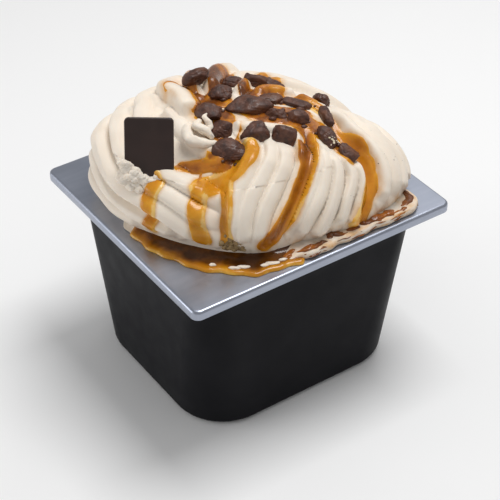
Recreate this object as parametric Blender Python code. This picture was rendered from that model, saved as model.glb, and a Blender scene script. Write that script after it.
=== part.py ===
"""Gelato display pan filled with a hand-paddled mound of pale gelato.

One square-ish pan (steel flange, black coated tub), one body of gelato that
fills the pan and rises over the flange in paddled folds, a thin chocolate
tile stuck in the left lobe and eighteen chocolate-biscuit chunks on top.

Frame: metres, +Z up, origin on the bench under the middle of the pan.
+X runs along the pan's long side, +Y along its short side.
Bearings are degrees from +X towards +Y; rises are degrees up the mound from
its foot (0) to its crown (90).
"""
import math
import random

import bpy
import bmesh
import numpy as np
from mathutils import Matrix, Vector, noise

MM = 0.001

# ---- driving dimensions, millimetres -------------------------------------
FLANGE_X = 180.0            # outside of the flange, long side
FLANGE_Y = 165.0            # outside of the flange, short side
PAN_H = 118.0               # bench to the flange's top face
SHEET = 1.0                 # sheet thickness
SKIRT = 6.0                 # turned-down edge of the flange
FLANGE_R = 5.0              # plan corner radius of the flange
EDGE_R = 2.0                # roundover between flange and skirt
WALL_INSET = 10.8           # tub wall behind the flange's edge, at the top
DRAFT = math.radians(3.0)   # taper of the tub
SHOULDER_H = 8.0            # height of the flared stacking shoulder
SHOULDER_OUT = 3.6          # how far the shoulder stands out
CORNER_TOP = 17.0           # tub's vertical corner radius, top
CORNER_BOT = 33.0           # and at the bottom
HEEL_R = 4.5                # fillet round the tub's bottom
MOUTH_X, MOUTH_Y, MOUTH_R = 74.0, 67.0, 60.0   # half sizes of the mouth
GAP = 0.5                   # gelato to pan inside the tub
SEAT = 0.3                  # gelato to flange, chunk to gelato
MOUND_H = 55.0              # crown above the flange, before the folds
CROWN = (-12.0, 6.0)        # the crown leans to the back left
ROUND_P, ROUND_Q = 2.3, 2.1 # squareness of the mound's section
TILE_W, TILE_L, TILE_T, TILE_R = 27.5, 33.5, 3.0, 2.5

# foot radius of the mound every 30 degrees of bearing, from +X
FOOT = (82, 83, 79, 73, 80, 87, 76, 69, 69, 69, 84, 97)
# outline of the layer on the flange, every 15 degrees from 165 to 270
POOL = (87.0, 83.0, 83.0, 84.0, 85.5, 86.0, 81.5, 79.5)

# ---- the paddled folds: (route, half width, height, skew) -------------
# a route is (bearing, rise) from one end of the fold to the other
FOLDS = [
    # left lobe, sweeping round from the back to the front foot
    ([(140, 12), (161, 14), (172, 8), (186, 7)], 5.0, 3.4, 0),
    ([(138, 24), (152, 27), (168, 20), (181, 15), (196, 14), (206, 10)], 5.5, 4.8, 0.2),
    ([(104, 26), (122, 28), (138, 30), (150, 33), (162, 31), (174, 26), (188, 25), (200, 22), (213, 16), (224, 10)], 7.2, 8.2, 0.35),
    ([(94, 33), (108, 34), (122, 36), (134, 42), (152, 46), (173, 38), (189, 34), (203, 31), (217, 25), (228, 19)], 6.4, 8.0, 0.3),
    ([(82, 40), (98, 42), (112, 44), (122, 50), (134, 56), (150, 59), (182, 46), (205, 40), (220, 36), (230, 30)], 6.2, 7.6, 0.3),
    ([(76, 42), (90, 46), (104, 52), (112, 62), (124, 73), (146, 78), (170, 78)], 7.6, 9.2, 0.3),
    ([(136, 66), (156, 72), (190, 70), (214, 64), (226, 60)], 6.0, 4.0, 0),
    ([(72, 38), (80, 48), (84, 58), (92, 68), (104, 76)], 5.6, 9.2, 0),
    ([(50, 40), (58, 50), (64, 60), (70, 70), (78, 80)], 5.6, 8.8, 0),
    # front lobe
    ([(256, 73), (260, 64), (246, 52), (238, 44), (234, 33), (233, 18)], 4.6, 4.0, 0.45),
    ([(265, 66), (257, 58), (246, 49), (238, 39), (235, 28), (234, 12)], 4.8, 4.4, 0.45),
    ([(280, 65), (268, 55), (253, 45), (242, 34), (237, 22), (236, 10)], 5.0, 4.8, 0.45),
    ([(286, 62), (274, 50), (259, 39), (247, 27), (240, 9)], 5.2, 5.0, 0.45),
    ([(298, 60), (287, 50), (275, 40), (263, 30), (253, 20), (245, 8)], 5.6, 5.6, 0.45),
    # right lobe
    ([(305, 57), (292, 45), (276, 31), (258, 12)], 3.4, 4.6, 0.3),
    ([(302, 53), (293, 43), (281, 31), (269, 20), (260, 9)], 4.4, 5.2, 0.4),
    ([(301, 49), (295, 38), (284, 26), (275, 15), (268, 7)], 4.6, 5.4, 0.4),
    ([(305, 46), (299, 33), (289, 23), (281, 10)], 4.6, 5.4, 0.4),
    ([(306, 39), (301, 28), (292, 16), (286, 8)], 5.0, 5.4, 0.4),
    # far right, smoother
    ([(343, 52), (325, 46), (317, 33), (310, 22), (303, 12)], 5.0, 5.0, 0.2),
    ([(354, 40), (330, 41), (322, 31), (315, 20), (309, 10)], 6.5, 3.4, 0.3),
    ([(356, 34), (329, 36), (324, 24), (319, 15), (315, 9)], 6.5, 3.2, 0.3),
    ([(350, 30), (332, 24), (326, 14), (322, 9)], 6.5, 3.0, 0.3),
    # crown
    ([(32, 80), (34, 72), (36, 62)], 4.0, 4.6, 0),
    ([(7, 76), (12, 69), (6, 63), (-1, 57)], 4.0, 4.4, 0),
    ([(-4, 58), (-14, 58), (-22, 54)], 4.0, 3.4, 0),
    ([(250, 78), (275, 76), (296, 70), (304, 62)], 4.5, 3.8, 0),
    # roughness round the foot of the tile
    ([(172, 42), (181, 36)], 5.0, 4.0, 0),
]
for i in range(9):
    b = 2 + 14.2 * i
    FOLDS.append(([(b + 20, 64), (b + 12, 45), (b + 3, 26), (b - 4, 8)],
                  6.4, 5.2 - 0.5 * (i % 3), 0.35))

# broad lobes under the ribs: route, half width, height
LOBES = [
    ([(270, 58), (256, 44), (245, 28), (243, 12)], 22.0, 3.0),
    ([(298, 48), (288, 33), (276, 18), (272, 8)], 17.0, 2.4),
    ([(335, 40), (322, 28), (312, 12)], 20.0, 1.6),
    ([(150, 40), (180, 32), (205, 26), (218, 18)], 20.0, 1.6),
]

# valleys between the lobes, which the sauce runs down
VALLEYS = [
    ([(256, 64), (240, 56), (229, 46), (226, 36), (227, 24), (229, 12)], 6.0, 3.6),
    ([(316, 64), (302, 57), (290, 49), (280, 40), (268, 30), (257, 20), (249, 9)], 5.0, 4.4),
    ([(334, 56), (320, 50), (314, 40), (306, 28), (297, 18), (292, 9)], 5.5, 4.6),
    ([(130, 54), (144, 54), (160, 50), (176, 43)], 4.0, 2.4),
    ([(146, 32), (162, 30), (176, 22), (190, 20), (204, 16)], 3.5, 2.6),
    ([(128, 66), (146, 68), (170, 68)], 4.0, 2.6),
]

# chunks: bearing, rise, length, breadth, thickness, spin, lift
CHUNKS = [
    (277, 70, 15.5, 12.5, 9.5, 20, 1.6), (294, 64, 14.0, 11.5, 9.0, -12, 1.6),
    (352, 47, 9.5, 9.0, 7.5, 0, 2.0), (331, 57, 13.0, 8.5, 7.0, -58, 1.6),
    (342, 65, 20.0, 10.5, 6.5, -8, 0.6), (320, 67, 12.5, 9.0, 6.5, 12, 0.8),
    (322, 75, 12.5, 8.0, 6.5, -6, 0.8), (333, 84, 24.0, 13.0, 8.0, -4, 0.8),
    (350, 74, 13.0, 8.5, 6.5, 10, 0.8), (22, 64, 19.0, 11.0, 7.5, -10, 1.2),
    (48, 69, 14.0, 10.0, 7.0, 6, 1.0), (58, 81, 12.5, 10.5, 8.0, 35, 1.2),
    (93, 72, 15.5, 11.0, 8.5, -6, 1.4), (188, 85, 14.0, 11.5, 9.0, -20, 1.8),
    (236, 76, 12.5, 10.0, 7.5, 4, 1.2), (237, 63, 18.0, 12.0, 7.0, -6, 0.4),
    (312, 53, 12.0, 9.0, 8.0, -70, 1.6), (307, 41, 13.0, 10.5, 8.0, -35, 1.4),
]

TILE_AT = (-67.5, -3.2, 55.9)   # middle of the tile, from the flange's top face
TILE_FACE = (-126.0, 20.0)      # bearing and rise of its face's normal


# ---- small helpers --------------------------------------------------------
def catmull(knots, u):
    """Smooth closed curve through equally spaced values, u in turns."""
    k = np.asarray(knots, float)
    n = len(k)
    x = (np.asarray(u, float) * n) % n
    i = np.floor(x).astype(int)
    f = x - i
    a, b, c, d = k[(i - 1) % n], k[i % n], k[(i + 1) % n], k[(i + 2) % n]
    return 0.5 * (2 * b + (c - a) * f + (2 * a - 5 * b + 4 * c - d) * f * f
                  + (3 * b - a - 3 * c + d) * f ** 3)


def smooth(x):
    x = np.clip(x, 0.0, 1.0)
    return x * x * (3 - 2 * x)


def foot(th):
    return catmull(FOOT, th / (2 * math.pi))


def rrect(th, hx, hy, r):
    """Polar radius of a rounded rectangle."""
    c, s = np.abs(np.cos(th)), np.abs(np.sin(th))
    t = np.minimum(hx / np.maximum(c, 1e-9), hy / np.maximum(s, 1e-9))
    cx, cy = hx - r, hy - r
    corner = (t * c > cx) & (t * s > cy)
    dc = c * cx + s * cy
    q = np.maximum(dc * dc - (cx * cx + cy * cy) + r * r, 0.0)
    return np.where(corner, dc + np.sqrt(q), t)


def dome(th, rise):
    """The mound before its folds; z counts from the flange's top face."""
    c = np.cos(rise) ** (2 / ROUND_P)
    s = np.sin(rise) ** (2 / ROUND_Q)
    k = np.clip(rise / math.radians(40), 0, 1)
    r = foot(th) * (c + 0.03 * np.sin(math.pi * k))
    return np.stack([r * np.cos(th) + CROWN[0] * s,
                     r * np.sin(th) + CROWN[1] * s, MOUND_H * s], -1)


def dome_normal(th, rise):
    e = 1e-3
    hi = np.clip(rise + e, 0.02, math.pi / 2 - 1e-4)
    lo = np.clip(rise - e, 0.01, math.pi / 2 - 2e-3)
    a = dome(th + e, rise) - dome(th - e, rise)
    b = dome(th, hi) - dome(th, lo)
    n = np.cross(a, b)
    return n / np.maximum(np.linalg.norm(n, axis=-1, keepdims=True), 1e-9)


def route(points, n=40):
    p = np.radians(np.asarray(points, float))
    q = dome(p[:, 0], np.clip(p[:, 1], 0.02, 1.56))
    q = np.vstack([2 * q[0] - q[1], q, 2 * q[-1] - q[-2]])
    m = len(q) - 3
    u = np.linspace(0, m, n)
    i = np.minimum(u.astype(int), m - 1)
    f = (u - i)[:, None]
    a, b, c, d = q[i], q[i + 1], q[i + 2], q[i + 3]
    return 0.5 * (2 * b + (c - a) * f + (2 * a - 5 * b + 4 * c - d) * f * f
                  + (3 * b - a - 3 * c + d) * f ** 3)


def near(points, line, reach, signed=False):
    """Indices within reach of a polyline, their distance and how far along."""
    lo, hi = line.min(0) - reach, line.max(0) + reach
    idx = np.nonzero(((points > lo) & (points < hi)).all(1))[0]
    p = points[idx]
    best = np.full(len(p), 1e9)
    along = np.zeros(len(p))
    side = np.zeros(len(p))
    n = len(line) - 1
    for i in range(n):
        a, b = line[i], line[i + 1]
        ab = b - a
        t = np.clip(((p - a) @ ab) / max(ab @ ab, 1e-9), 0, 1)
        d = np.linalg.norm(p - (a + t[:, None] * ab), axis=1)
        m = d < best
        best[m] = d[m]
        along[m] = ((i + t) / n)[m]
        if signed:
            out = (p[m] * [1, 1, 0.6]) + [0, 0, 12]
            cr = (np.cross(ab, p[m] - a) * out).sum(1)
            side[m] = np.tanh(cr / (np.linalg.norm(ab) * np.linalg.norm(out, axis=1)) / 1.2)
    if signed:
        return idx, best, along, side
    return idx, best, along


def vnoise(p, scale, seed=0):
    """Smooth unevenness, -1..1."""
    q = np.asarray(p, float) / scale + seed * 17.31
    i = np.floor(q).astype(np.int64)
    f = q - i
    u = f * f * (3 - 2 * f)

    def h(a, b, c):
        x = (a * 374761393 + b * 668265263 + c * 1440662683 + seed * 974634777) & 0xFFFFFFFF
        x = ((x ^ (x >> 13)) * 1274126177) & 0xFFFFFFFF
        x = x ^ (x >> 16)
        return (x & 0xFFFFFF) / float(0x7FFFFF) - 1.0

    out = 0.0
    for dx in (0, 1):
        wx = u[:, 0] if dx else 1 - u[:, 0]
        for dy in (0, 1):
            wy = u[:, 1] if dy else 1 - u[:, 1]
            for dz in (0, 1):
                wz = u[:, 2] if dz else 1 - u[:, 2]
                out = out + wx * wy * wz * h(i[:, 0] + dx, i[:, 1] + dy, i[:, 2] + dz)
    return out


def ridge(points, folds, power):
    """Rounded ridges; where two meet the higher one wins, in a crease. A
    skewed fold is steep on one side and runs out slowly on the other."""
    out = np.zeros(len(points))
    for pts, w, h, *skew in folds:
        k = skew[0] if skew else 0.0
        idx, d, s, side = near(points, route(pts), w * (1 + k) + 1, True)
        d = d / (1 + k * side)
        ends = smooth(s / 0.18) * smooth((1 - s) / 0.12)
        u = np.clip(d / w, 0, 1)
        v = h * (0.25 + 0.75 * ends) * (1 - u * u) ** power
        out[idx] = np.maximum(out[idx], v)
    return out


def mound(th, rise):
    """The folded surface of the gelato, flat arrays in, N x 3 out."""
    p = dome(th, rise)
    d = ridge(p, FOLDS, 0.7) + ridge(p, LOBES, 1.6) - ridge(p, VALLEYS, 1.5)
    d += 0.5 * vnoise(p, 16.0, 3)
    n = dome_normal(th, rise)
    fade = smooth(rise / math.radians(7))
    low = (1 - smooth(rise / math.radians(16)))[:, None]
    n = n * (1 - low) + low * (n * [1, 1, 0])
    n /= np.maximum(np.linalg.norm(n, axis=1, keepdims=True), 1e-9)
    return p + n * (d * fade)[:, None]


def slab(th):
    """Outline radius and height of the layer that lies on the flange."""
    t = np.degrees(th) % 360
    right = smooth((t - 250) / 12) * smooth((332 - t) / 10)
    left = smooth((t - 168) / 10) * smooth((262 - t) / 12)
    edge = rrect(th, 72.0, 79.0, 9.0) + 0.5 * np.sin(th * 23) + 0.4 * np.sin(th * 41 + 1)
    pool = np.interp(t, 165 + 15 * np.arange(8), POOL) - 1.5
    base = foot(th) - 2.8
    r = base * (1 - right) * (1 - left) + left * (1 - right) * pool + right * edge
    h = 1.6 + 3.6 * right
    return r, h


# ---- mesh building --------------------------------------------------------
def new_object(name, bm, material):
    me = bpy.data.meshes.new(name)
    bm.to_mesh(me)
    bm.free()
    ob = bpy.data.objects.new(name, me)
    bpy.context.scene.collection.objects.link(ob)
    if material:
        me.materials.append(material)
    me.shade_smooth()
    me.set_sharp_from_angle(angle=math.radians(40))
    return ob


def stack(name, rings, material, top=None, bottom=None):
    """Closed skin over a stack of equal rings, capped by a point or a face."""
    bm = bmesh.new()
    rows = [[bm.verts.new(Vector(p) * MM) for p in ring] for ring in rings]
    n = len(rows[0])
    for a, b in zip(rows, rows[1:]):
        for i in range(n):
            j = (i + 1) % n
            bm.faces.new((a[i], a[j], b[j], b[i]))
    for row, tip, flip in ((rows[-1], top, False), (rows[0], bottom, True)):
        if tip is None:
            bm.faces.new(row[::-1] if flip else row)
        else:
            v = bm.verts.new(Vector(tip) * MM)
            for i in range(n):
                j = (i + 1) % n
                f = (row[i], row[j], v)
                bm.faces.new(f[::-1] if flip else f)
    return new_object(name, bm, material)


def material(name, rgb, rough, metal=0.0):
    m = bpy.data.materials.new(name)
    m.use_nodes = True
    b = m.node_tree.nodes["Principled BSDF"]
    b.inputs["Base Color"].default_value = (*rgb, 1)
    b.inputs["Roughness"].default_value = rough
    b.inputs["Metallic"].default_value = metal
    m.diffuse_color = (*rgb, 1)
    return m


def corner_ring(hx, hy, r, z, seg=6):
    """Ring of points round a rounded rectangle, equal count every call."""
    pts = []
    for cx, cy, a0 in ((hx - r, hy - r, 0), (r - hx, hy - r, 90),
                       (r - hx, r - hy, 180), (hx - r, r - hy, 270)):
        for k in range(seg + 1):
            a = math.radians(a0 + 90 * k / seg)
            pts.append((cx + r * math.cos(a), cy + r * math.sin(a), z))
    return pts


def wall(z, off=0.0):
    """Half sizes and corner radius of the tub's outer wall at height z."""
    depth = PAN_H - z
    inset = WALL_INSET + depth * math.tan(DRAFT) - off
    r = CORNER_TOP + (CORNER_BOT - CORNER_TOP) * depth / PAN_H + off
    return FLANGE_X / 2 - inset, FLANGE_Y / 2 - inset, r


def make_pan(mat):
    fx, fy = FLANGE_X / 2, FLANGE_Y / 2
    top = PAN_H
    rings = []

    def add(hx, hy, r, z):
        rings.append(corner_ring(hx, hy, max(r, 0.6), z))

    # outside, from the bottom up
    for a in (90, 60, 30, 0):
        z = HEEL_R * (1 - math.sin(math.radians(a)))
        add(*wall(z, -HEEL_R * (1 - math.cos(math.radians(a)))), z)
    zs = top - SHEET - SHOULDER_H
    add(*wall(zs), zs)
    add(*wall(zs + 2.5, SHOULDER_OUT), zs + 2.5)
    add(*wall(top - SHEET, SHOULDER_OUT), top - SHEET)
    # under the flange, round the skirt, over the top
    add(fx - SHEET, fy - SHEET, FLANGE_R - SHEET, top - SHEET)
    add(fx - SHEET, fy - SHEET, FLANGE_R - SHEET, top - SKIRT)
    add(fx, fy, FLANGE_R, top - SKIRT)
    add(fx, fy, FLANGE_R, top - EDGE_R)
    add(fx - 0.3 * EDGE_R, fy - 0.3 * EDGE_R, FLANGE_R - 0.3 * EDGE_R, top - 0.3 * EDGE_R)
    add(fx - EDGE_R, fy - EDGE_R, FLANGE_R - EDGE_R, top)
    # the mouth, with a web across each corner, and the inside down
    add(MOUTH_X, MOUTH_Y, MOUTH_R, top)
    add(MOUTH_X, MOUTH_Y, MOUTH_R, top - SHEET)
    add(*wall(top - SHEET - 0.4, SHOULDER_OUT - SHEET), top - SHEET - 0.4)
    add(*wall(zs + 2.5, SHOULDER_OUT - SHEET), zs + 2.5)
    add(*wall(zs, -SHEET), zs)
    add(*wall(6.0, -SHEET), 6.0)
    hx, hy, r = wall(SHEET, -SHEET - 4.0)
    add(hx, hy, r, SHEET)
    return stack("pan", rings, mat)


def make_gelato(mat):
    # closer together where the folds are fine
    t = np.concatenate([np.arange(180, 340, 3.2), np.arange(340, 540, 6.0)])
    th = np.radians(t % 360)
    rings = []

    def level(r, z):
        z = np.broadcast_to(z, th.shape)
        rings.append([(a * math.cos(b), a * math.sin(b), PAN_H + c) for a, b, c in zip(r, th, z)])

    zs = -SHEET - SHOULDER_H
    off = -SHEET - GAP
    hx, hy, r = wall(SHEET + GAP, off - 4.0)
    level(rrect(th, hx, hy, r), SHEET + GAP - PAN_H)
    level(rrect(th, *wall(6.5, off)), 6.5 - PAN_H)
    level(rrect(th, *wall(PAN_H + zs, off)), zs)
    level(rrect(th, *wall(PAN_H + zs + 2.5, SHOULDER_OUT + off)), zs + 2.5 + 0.3)
    level(rrect(th, *wall(PAN_H - 2.2, SHOULDER_OUT + off)), -2.2)
    neck = 2 * GAP
    level(rrect(th, MOUTH_X - neck, MOUTH_Y - neck, MOUTH_R - neck), -2.0)
    level(rrect(th, MOUTH_X - neck, MOUTH_Y - neck, MOUTH_R - neck), SEAT)
    (edge, h), base = slab(th), foot(th)
    level(edge, SEAT + 0 * th)
    level(edge + 0.2, SEAT + 0.5 * h)
    level(edge - 1.2, h)
    level(np.minimum(edge - 2.2, base - 0.6), h + 0.2)
    rises = np.radians([6.5, 9.5, 13, 17, 21, 25, 29.5, 34, 38.5, 43, 47.5, 52,
                        56.5, 61, 65.5, 70, 75, 80, 85])
    for a in rises:
        p = mound(th, np.full(len(th), a))
        rings.append([(x, y, z + PAN_H) for x, y, z in p])
    tip = mound(np.array([0.0]), np.array([1.56]))[0]
    return stack("gelato", rings, mat, top=(tip[0], tip[1], tip[2] + PAN_H))


def lump(name, size, seed, grow, mat, level=2):
    """Uneven broken-biscuit lump; grow offsets it for its pocket."""
    bm = bmesh.new()
    bmesh.ops.create_icosphere(bm, subdivisions=level, radius=1.0)
    off = Vector((seed * 7.3, seed * 3.1, seed * 1.7))
    half = [s / 2 for s in size]
    for v in bm.verts:
        n = v.co.normalized()
        k = 1.0 + 0.17 * noise.noise(n * 1.5 + off) + 0.08 * noise.noise(n * 3.4 + off)
        p = Vector((n.x * half[0], n.y * half[1], n.z * half[2])) * k
        v.co = (p + p.normalized() * grow) * MM
    return new_object(name, bm, mat)


def frame_at(bearing, rise, spin, lift):
    """Placement on the mound: z out of the surface, x across the view."""
    b, a = math.radians(bearing % 360), math.radians(rise)
    p = mound(np.array([b]), np.array([a]))[0]
    n = Vector(dome_normal(np.array([b]), np.array([a]))[0])
    across = Vector((math.cos(math.radians(-35)), math.sin(math.radians(-35)), 0))
    x = (across - n * across.dot(n)).normalized()
    y = n.cross(x)
    m = Matrix((x, y, n)).transposed() @ Matrix.Rotation(math.radians(spin), 3, "Z")
    c = Vector(p) + n * lift + Vector((0, 0, PAN_H))
    return Matrix.Translation(c * MM) @ m.to_4x4()


def make_tile(name, grow, mat):
    """Thin tile with rounded corners, standing on its short edge."""
    w, l, t, r = TILE_W / 2 + grow, TILE_L / 2 + grow, TILE_T / 2 + grow, TILE_R + grow
    e = 0.4
    rings = [corner_ring(w - e, l - e, r - e, -t, 4), corner_ring(w, l, r, -t + e, 4),
             corner_ring(w, l, r, t - e, 4), corner_ring(w - e, l - e, r - e, t, 4)]
    ob = stack(name, rings, mat)
    fb, fr = math.radians(TILE_FACE[0]), math.radians(TILE_FACE[1])
    n = Vector((math.cos(fb) * math.cos(fr), math.sin(fb) * math.cos(fr), math.sin(fr)))
    x = Vector((0, 0, 1)).cross(n).normalized()
    y = n.cross(x)
    c = Vector(TILE_AT) + Vector((0, 0, PAN_H))
    ob.matrix_world = Matrix.Translation(c * MM) @ Matrix((x, y, n)).transposed().to_4x4()
    return ob


def cutter(ob, target):
    ob.hide_render = True
    ob.display_type = "WIRE"
    m = target.modifiers.new(ob.name, "BOOLEAN")
    m.operation = "DIFFERENCE"
    m.solver = "EXACT"
    m.object = ob


def main():
    for ob in list(bpy.data.objects):
        bpy.data.objects.remove(ob, do_unlink=True)
    random.seed(4)
    pan_mat = material("pan_metal", (0.16, 0.17, 0.19), 0.35, 0.9)
    cream = material("gelato_cream", (0.73, 0.63, 0.49), 0.45)
    biscuit = material("chunk_brown", (0.08, 0.035, 0.02), 0.6)
    choc = material("tile_dark", (0.023, 0.012, 0.009), 0.35)

    make_pan(pan_mat)
    gelato = make_gelato(cream)
    for i, (b, a, l, w, t, spin, lift) in enumerate(CHUNKS, 1):
        at = frame_at(b, a, spin, lift)
        ob = lump(f"chunk_{i:02d}", (l, w, t), i, 0.0, biscuit)
        ob.matrix_world = at
        cut = lump(f"cut_chunk_{i:02d}", (l, w, t), i, SEAT + 0.1, None)
        cut.matrix_world = at
        cutter(cut, gelato)
    make_tile("tile", 0.0, choc)
    cutter(make_tile("cut_tile", SEAT + 0.1, None), gelato)


main()
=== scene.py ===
import math
import bpy
import bmesh
import numpy as np
from mathutils import Matrix, Vector, noise


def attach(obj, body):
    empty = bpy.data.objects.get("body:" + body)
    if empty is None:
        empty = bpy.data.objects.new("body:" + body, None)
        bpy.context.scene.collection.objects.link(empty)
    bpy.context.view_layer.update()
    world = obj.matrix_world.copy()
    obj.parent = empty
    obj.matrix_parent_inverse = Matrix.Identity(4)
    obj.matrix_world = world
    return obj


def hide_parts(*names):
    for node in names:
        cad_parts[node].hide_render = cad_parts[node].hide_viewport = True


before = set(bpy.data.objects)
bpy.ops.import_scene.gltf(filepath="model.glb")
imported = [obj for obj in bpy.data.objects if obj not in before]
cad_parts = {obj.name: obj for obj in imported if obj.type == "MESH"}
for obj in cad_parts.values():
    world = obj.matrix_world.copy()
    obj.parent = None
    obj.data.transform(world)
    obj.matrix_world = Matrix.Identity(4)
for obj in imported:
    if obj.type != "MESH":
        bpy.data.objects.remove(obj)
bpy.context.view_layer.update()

MM = 0.001
scene = bpy.context.scene
scene.view_settings.view_transform = "Standard"

# =====================================================================
# sizes, millimetres (the same driving dimensions as the CAD model)
# =====================================================================
FLANGE_X, FLANGE_Y, PAN_H = 180.0, 165.0, 118.0
SHEET, SKIRT, FLANGE_R, EDGE_R = 1.0, 6.0, 5.0, 2.0
WALL_INSET, DRAFT = 10.8, math.radians(3.0)
SHOULDER_H, SHOULDER_OUT = 8.0, 3.6
CORNER_TOP, CORNER_BOT, HEEL_R = 17.0, 33.0, 4.5
MOUTH_X, MOUTH_Y, MOUTH_R = 74.0, 67.0, 60.0
SEAT = 0.3
MOUND_H, CROWN = 55.0, (-12.0, 6.0)
ROUND_P, ROUND_Q = 2.3, 2.1
TILE_W, TILE_L, TILE_T, TILE_R = 27.5, 33.5, 3.0, 2.5
TILE_AT, TILE_FACE = (-67.5, -3.2, 55.9), (-126.0, 20.0)
FOOT = (82, 83, 79, 73, 80, 87, 76, 69, 69, 69, 84, 97)
# outline of the layer on the flange, every 15 degrees from 165 to 270
POOL = (87.0, 83.0, 83.0, 84.0, 85.5, 86.0, 81.5, 79.5)

FOLDS = [
    # left lobe, sweeping round from the back to the front foot
    ([(140, 12), (161, 14), (172, 8), (186, 7)], 5.0, 3.4, 0),
    ([(138, 24), (152, 27), (168, 20), (181, 15), (196, 14), (206, 10)], 5.5, 4.8, 0.2),
    ([(104, 26), (122, 28), (138, 30), (150, 33), (162, 31), (174, 26), (188, 25), (200, 22), (213, 16), (224, 10)], 7.2, 8.2, 0.35),
    ([(94, 33), (108, 34), (122, 36), (134, 42), (152, 46), (173, 38), (189, 34), (203, 31), (217, 25), (228, 19)], 6.4, 8.0, 0.3),
    ([(82, 40), (98, 42), (112, 44), (122, 50), (134, 56), (150, 59), (182, 46), (205, 40), (220, 36), (230, 30)], 6.2, 7.6, 0.3),
    ([(76, 42), (90, 46), (104, 52), (112, 62), (124, 73), (146, 78), (170, 78)], 7.6, 9.2, 0.3),
    ([(136, 66), (156, 72), (190, 70), (214, 64), (226, 60)], 6.0, 4.0, 0),
    ([(72, 38), (80, 48), (84, 58), (92, 68), (104, 76)], 5.6, 9.2, 0),
    ([(50, 40), (58, 50), (64, 60), (70, 70), (78, 80)], 5.6, 8.8, 0),
    # front lobe
    ([(256, 73), (260, 64), (246, 52), (238, 44), (234, 33), (233, 18)], 4.6, 4.0, 0.45),
    ([(265, 66), (257, 58), (246, 49), (238, 39), (235, 28), (234, 12)], 4.8, 4.4, 0.45),
    ([(280, 65), (268, 55), (253, 45), (242, 34), (237, 22), (236, 10)], 5.0, 4.8, 0.45),
    ([(286, 62), (274, 50), (259, 39), (247, 27), (240, 9)], 5.2, 5.0, 0.45),
    ([(298, 60), (287, 50), (275, 40), (263, 30), (253, 20), (245, 8)], 5.6, 5.6, 0.45),
    # right lobe
    ([(305, 57), (292, 45), (276, 31), (258, 12)], 3.4, 4.6, 0.3),
    ([(302, 53), (293, 43), (281, 31), (269, 20), (260, 9)], 4.4, 5.2, 0.4),
    ([(301, 49), (295, 38), (284, 26), (275, 15), (268, 7)], 4.6, 5.4, 0.4),
    ([(305, 46), (299, 33), (289, 23), (281, 10)], 4.6, 5.4, 0.4),
    ([(306, 39), (301, 28), (292, 16), (286, 8)], 5.0, 5.4, 0.4),
    # far right, smoother
    ([(343, 52), (325, 46), (317, 33), (310, 22), (303, 12)], 5.0, 5.0, 0.2),
    ([(354, 40), (330, 41), (322, 31), (315, 20), (309, 10)], 6.5, 3.4, 0.3),
    ([(356, 34), (329, 36), (324, 24), (319, 15), (315, 9)], 6.5, 3.2, 0.3),
    ([(350, 30), (332, 24), (326, 14), (322, 9)], 6.5, 3.0, 0.3),
    # crown
    ([(32, 80), (34, 72), (36, 62)], 4.0, 4.6, 0),
    ([(7, 76), (12, 69), (6, 63), (-1, 57)], 4.0, 4.4, 0),
    ([(-4, 58), (-14, 58), (-22, 54)], 4.0, 3.4, 0),
    ([(250, 78), (275, 76), (296, 70), (304, 62)], 4.5, 3.8, 0),
    # roughness round the foot of the tile
    ([(172, 42), (181, 36)], 5.0, 4.0, 0),
]
for i in range(9):
    b = 2 + 14.2 * i
    FOLDS.append(([(b + 20, 64), (b + 12, 45), (b + 3, 26), (b - 4, 8)],
                  6.4, 5.2 - 0.5 * (i % 3), 0.35))

# broad lobes under the ribs: route, half width, height
LOBES = [
    ([(270, 58), (256, 44), (245, 28), (243, 12)], 22.0, 3.0),
    ([(298, 48), (288, 33), (276, 18), (272, 8)], 17.0, 2.4),
    ([(335, 40), (322, 28), (312, 12)], 20.0, 1.6),
    ([(150, 40), (180, 32), (205, 26), (218, 18)], 20.0, 1.6),
]

# valleys between the lobes, which the sauce runs down
VALLEYS = [
    ([(256, 64), (240, 56), (229, 46), (226, 36), (227, 24), (229, 12)], 6.0, 3.6),
    ([(316, 64), (302, 57), (290, 49), (280, 40), (268, 30), (257, 20), (249, 9)], 5.0, 4.4),
    ([(334, 56), (320, 50), (314, 40), (306, 28), (297, 18), (292, 9)], 5.5, 4.6),
    ([(130, 54), (144, 54), (160, 50), (176, 43)], 4.0, 2.4),
    ([(146, 32), (162, 30), (176, 22), (190, 20), (204, 16)], 3.5, 2.6),
    ([(128, 66), (146, 68), (170, 68)], 4.0, 2.6),
]

CHUNKS = [
    (277, 70, 15.5, 12.5, 9.5, 20, 1.6), (294, 64, 14.0, 11.5, 9.0, -12, 1.6),
    (352, 47, 9.5, 9.0, 7.5, 0, 2.0), (331, 57, 13.0, 8.5, 7.0, -58, 1.6),
    (342, 65, 20.0, 10.5, 6.5, -8, 0.6), (320, 67, 12.5, 9.0, 6.5, 12, 0.8),
    (322, 75, 12.5, 8.0, 6.5, -6, 0.8), (333, 84, 24.0, 13.0, 8.0, -4, 0.8),
    (350, 74, 13.0, 8.5, 6.5, 10, 0.8), (22, 64, 19.0, 11.0, 7.5, -10, 1.2),
    (48, 69, 14.0, 10.0, 7.0, 6, 1.0), (58, 81, 12.5, 10.5, 8.0, 35, 1.2),
    (93, 72, 15.5, 11.0, 8.5, -6, 1.4), (188, 85, 14.0, 11.5, 9.0, -20, 1.8),
    (236, 76, 12.5, 10.0, 7.5, 4, 1.2), (237, 63, 18.0, 12.0, 7.0, -6, 0.4),
    (312, 53, 12.0, 9.0, 8.0, -70, 1.6), (307, 41, 13.0, 10.5, 8.0, -35, 1.4),
]

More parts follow.
